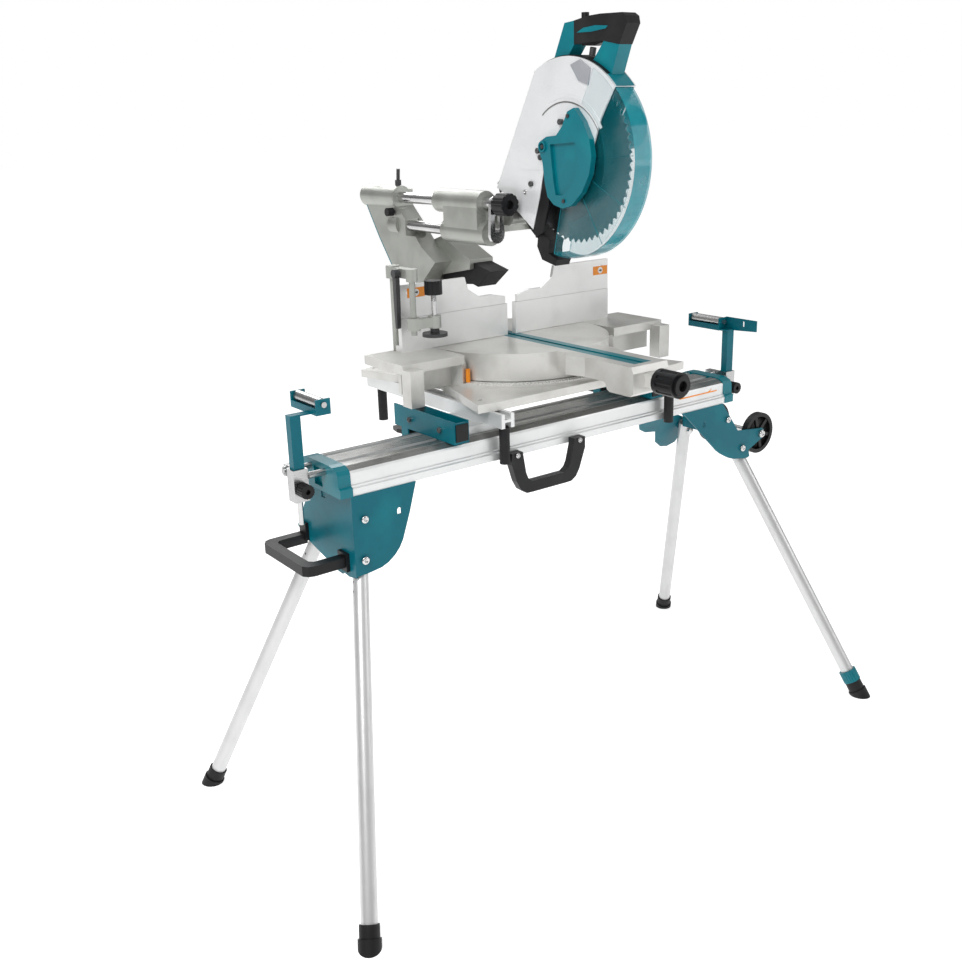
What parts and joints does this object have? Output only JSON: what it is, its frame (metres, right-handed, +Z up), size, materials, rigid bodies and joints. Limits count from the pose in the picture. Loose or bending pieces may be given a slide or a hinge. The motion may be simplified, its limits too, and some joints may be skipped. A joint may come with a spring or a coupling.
{
  "type": "mitre saw on stand",
  "caption": "Sliding compound mitre saw with a raised head and clear blade guard, clamped on a long wheeled folding-leg stand with extending roller supports at both ends",
  "frame": {"origin": "on the floor under the middle of the footprint's bounding box", "axes": "+X along the stand's beam towards the wheels, +Y away from the operator, +Z up"},
  "size_m": [1.3544, 1.0086, 1.453],
  "materials": {
    "teal_paint": "satin",
    "silver_paint": "satin",
    "case_white": "satin",
    "extrusion": "anodised",
    "cast_alloy": "cast and machined",
    "steel": "ground",
    "blade_steel": "ground",
    "bright": "plated",
    "black_plastic": "textured",
    "teal_plastic": "moulded",
    "rubber_black": "matt",
    "clear_teal": "clear moulded",
    "dark_paint": "satin"
  },
  "bodies": {
    "stand": {"main_beam": "extrusion", "beam_end_caps": "teal_plastic", "leg_bracket_left": "teal_paint", "leg_bracket_right": "teal_paint", "carry_handle": "black_plastic", "end_handle": "black_plastic", "stand_fasteners": "bright", "mount_clamps": "teal_paint", "mount_rails": "extrusion", "rail_feet": "rubber_black", "saw_base": "cast_alloy", "mitre_scale": "steel", "fence_base": "silver_paint", "vise_post": "cast_alloy"},
    "front_wheel": {"wheel_front": "black_plastic"},
    "rear_wheel": {"wheel_rear": "black_plastic"},
    "front_left_leg": {"leg_front_left": "extrusion"},
    "rear_left_leg": {"leg_rear_left": "extrusion"},
    "front_right_leg": {"leg_front_right": "extrusion"},
    "rear_right_leg": {"leg_rear_right": "extrusion"},
    "level_ring": {"foot_adjuster": "teal_plastic"},
    "left_extension": {"extension_arm_left": "steel"},
    "right_extension": {"extension_arm_right": "steel"},
    "left_support": {"support_post_left": "teal_paint"},
    "right_support": {"support_post_right": "teal_paint"},
    "left_roller": {"support_roller_left": "steel"},
    "right_roller": {"support_roller_right": "steel"},
    "left_knob": {"support_knob_left": "black_plastic"},
    "right_knob": {"support_knob_right": "black_plastic"},
    "left_clamp_lever": {"clamp_lever_left": "black_plastic"},
    "right_clamp_lever": {"clamp_lever_right": "black_plastic"},
    "table": {"turntable": "cast_alloy", "kerf_plates": "teal_plastic"},
    "table_grip": {"mitre_grip": "black_plastic"},
    "table_latch": {"mitre_lock_lever": "black_plastic"},
    "left_fence": {"fence_slide_left": "silver_paint"},
    "right_fence": {"fence_slide_right": "silver_paint"},
    "hold_down": {"vise_arm": "cast_alloy"},
    "hold_down_pad": {"vise_pad": "dark_paint"},
    "hold_down_screw": {"vise_screw": "bright"},
    "hold_down_lever": {"vise_lever": "dark_paint"},
    "bevel": {"bevel_arm": "cast_alloy", "slide_rails": "bright", "dust_guide": "rubber_black"},
    "bevel_knob": {"bevel_lock_knob": "black_plastic"},
    "rail_knob": {"rail_lock_knob": "black_plastic"},
    "stop_lever": {"bevel_stop_lever": "dark_paint"},
    "slide_carriage": {"carriage": "cast_alloy"},
    "head": {"head_arm": "cast_alloy", "blade_case": "case_white", "motor_housing": "teal_plastic", "handle_frame": "teal_plastic", "handle_grip": "rubber_black", "centre_cover": "teal_plastic", "dust_chute": "black_plastic", "head_fasteners": "dark_paint"},
    "blade": {"saw_blade": "blade_steel"},
    "guard": {"lower_guard": "clear_teal"},
    "switch": {"trigger": "black_plastic"},
    "lock_off": {"lock_off_button": "black_plastic"}
  },
  "joints": [
    {"name": "front_left_fold", "type": "hinge", "parent": "stand", "child": "front_left_leg", "pos_m": [-0.4469, -0.1647, 0.548], "axis": [-0.0262, -0.8662, 0.4991], "range_deg": [0, 110.3]},
    {"name": "rear_left_fold", "type": "hinge", "parent": "stand", "child": "rear_left_leg", "pos_m": [-0.4499, -0.0347, 0.555], "axis": [0.016, -0.9521, -0.3053], "range_deg": [0, 112]},
    {"name": "front_right_fold", "type": "hinge", "parent": "stand", "child": "front_right_leg", "pos_m": [0.5421, -0.1657, 0.551], "axis": [0.0258, 0.8696, -0.493], "range_deg": [0, 96.7]},
    {"name": "level_ring_turn", "type": "hinge", "parent": "front_right_leg", "child": "level_ring", "pos_m": [0.6491, -0.4767, 0.008], "axis": [0.1685, -0.4899, -0.8553], "continuous": true},
    {"name": "rear_right_fold", "type": "hinge", "parent": "stand", "child": "rear_right_leg", "pos_m": [0.5401, -0.0217, 0.56], "axis": [-0.0148, 0.9593, 0.2819], "range_deg": [0, 98]},
    {"name": "front_wheel_spin", "type": "hinge", "parent": "stand", "child": "front_wheel", "pos_m": [0.5971, -0.1917, 0.573], "axis": [0, 1, 0], "continuous": true},
    {"name": "rear_wheel_spin", "type": "hinge", "parent": "stand", "child": "rear_wheel", "pos_m": [0.5971, -0.0617, 0.573], "axis": [0, 1, 0], "continuous": true},
    {"name": "left_extension_slide", "type": "slide", "parent": "stand", "child": "left_extension", "axis": [-1, 0, 0], "range_m": [0, 0.38]},
    {"name": "left_support_height", "type": "slide", "parent": "left_extension", "child": "left_support", "axis": [0, 0, 1], "range_m": [-0.055, 0.035]},
    {"name": "left_knob_turn", "type": "hinge", "parent": "left_extension", "child": "left_knob", "pos_m": [-0.5449, -0.1687, 0.683], "axis": [0, 1, 0], "continuous": true},
    {"name": "left_roller_spin", "type": "hinge", "parent": "left_support", "child": "left_roller", "pos_m": [-0.5009, -0.1487, 0.828], "axis": [0, 1, 0], "continuous": true},
    {"name": "left_clamp_release", "type": "hinge", "parent": "stand", "child": "left_clamp_lever", "pos_m": [-0.2454, -0.0427, 0.705], "axis": [-1, 0, 0], "range_deg": [0, 95]},
    {"name": "left_fence_slide", "type": "slide", "parent": "stand", "child": "left_fence", "axis": [-1, 0, 0], "range_m": [0, 0.09]},
    {"name": "right_extension_slide", "type": "slide", "parent": "stand", "child": "right_extension", "axis": [1, 0, 0], "range_m": [0, 0.38]},
    {"name": "right_support_height", "type": "slide", "parent": "right_extension", "child": "right_support", "axis": [0, 0, 1], "range_m": [-0.055, 0.035]},
    {"name": "right_knob_turn", "type": "hinge", "parent": "right_extension", "child": "right_knob", "pos_m": [0.5431, -0.1687, 0.683], "axis": [0, 1, 0], "continuous": true},
    {"name": "right_roller_spin", "type": "hinge", "parent": "right_support", "child": "right_roller", "pos_m": [0.5401, -0.1487, 0.828], "axis": [0, 1, 0], "continuous": true},
    {"name": "right_clamp_release", "type": "hinge", "parent": "stand", "child": "right_clamp_lever", "pos_m": [0.2521, -0.0427, 0.705], "axis": [-1, 0, 0], "range_deg": [0, 95]},
    {"name": "right_fence_slide", "type": "slide", "parent": "stand", "child": "right_fence", "axis": [1, 0, 0], "range_m": [0, 0.09]},
    {"name": "mitre", "type": "hinge", "parent": "stand", "child": "table", "pos_m": [0.0811, 0.0463, 0.838], "axis": [0, 0, 1], "range_deg": [-47, 47]},
    {"name": "mitre_grip_turn", "type": "hinge", "parent": "table", "child": "table_grip", "pos_m": [0.0811, -0.4087, 0.81], "axis": [0, 1, 0], "range_deg": [-180, 180]},
    {"name": "mitre_latch", "type": "hinge", "parent": "table", "child": "table_latch", "pos_m": [0.1111, -0.3687, 0.812], "axis": [1, 0, 0], "range_deg": [-20, 0]},
    {"name": "vise_lever_turn", "type": "hinge", "parent": "stand", "child": "hold_down_lever", "pos_m": [-0.2089, 0.0453, 0.997], "axis": [1, 0, 0], "range_deg": [0, 50]},
    {"name": "vise_height", "type": "slide", "parent": "stand", "child": "hold_down", "axis": [0, 0, 1], "range_m": [-0.009, 0.05]},
    {"name": "vise_pad_travel", "type": "slide", "parent": "hold_down", "child": "hold_down_pad", "axis": [0, 0, 1], "range_m": [-0.026, 0.001]},
    {"name": "vise_screw_turn", "type": "hinge", "parent": "hold_down_pad", "child": "hold_down_screw", "pos_m": [-0.1509, 0.0033, 0.95], "axis": [0, 0, 1], "range_deg": [-3300, 300]},
    {"name": "bevel_tilt", "type": "hinge", "parent": "table", "child": "bevel", "pos_m": [0.0811, 0.2813, 0.838], "axis": [0, 1, 0], "range_deg": [-22.5, 30]},
    {"name": "bevel_knob_turn", "type": "hinge", "parent": "bevel", "child": "bevel_knob", "pos_m": [0.0191, -0.0087, 1.114], "axis": [0, 1, 0], "range_deg": [-120, 120]},
    {"name": "rail_knob_turn", "type": "hinge", "parent": "bevel", "child": "rail_knob", "pos_m": [-0.0069, 0.3773, 1.083], "axis": [1, 0, 0], "range_deg": [-180, 180]},
    {"name": "stop_lever_turn", "type": "hinge", "parent": "bevel", "child": "stop_lever", "pos_m": [0.0191, 0.3763, 1.145], "axis": [0, 0, 1], "range_deg": [-60, 60]},
    {"name": "carriage_slide", "type": "slide", "parent": "bevel", "child": "slide_carriage", "axis": [0, 1, 0], "range_m": [0, 0.148]},
    {"name": "chop", "type": "hinge", "parent": "slide_carriage", "child": "head", "pos_m": [0.0991, 0.0133, 1.086], "axis": [-1, 0, 0], "range_deg": [-64.5, 0], "stiffness_Nm_per_rad": 9, "springref_deg": 148.97},
    {"name": "blade_spin", "type": "hinge", "parent": "head", "child": "blade", "pos_m": [0.0811, -0.1507, 1.197], "axis": [1, 0, 0], "continuous": true},
    {"name": "guard_swing", "type": "hinge", "parent": "head", "child": "guard", "pos_m": [0.0811, -0.1507, 1.197], "axis": [1, 0, 0], "range_deg": [-130, 0]},
    {"name": "trigger_squeeze", "type": "hinge", "parent": "head", "child": "switch", "pos_m": [0.0811, -0.1827, 1.407], "axis": [-1, 0, 0], "range_deg": [0, 7], "stiffness_Nm_per_rad": 0.4, "springref_deg": -17.19},
    {"name": "lock_off_press", "type": "slide", "parent": "head", "child": "lock_off", "axis": [0, 0, 1], "range_m": [-0.004, 0], "stiffness_N_per_m": 300, "springref_m": 0.002}
  ],
  "couplings": [
    {"joint": "guard_swing", "follows": "chop", "ratio": 2},
    {"joint": "vise_screw_turn", "follows": "vise_pad_travel", "rad_per_m": 1570.8}
  ]
}
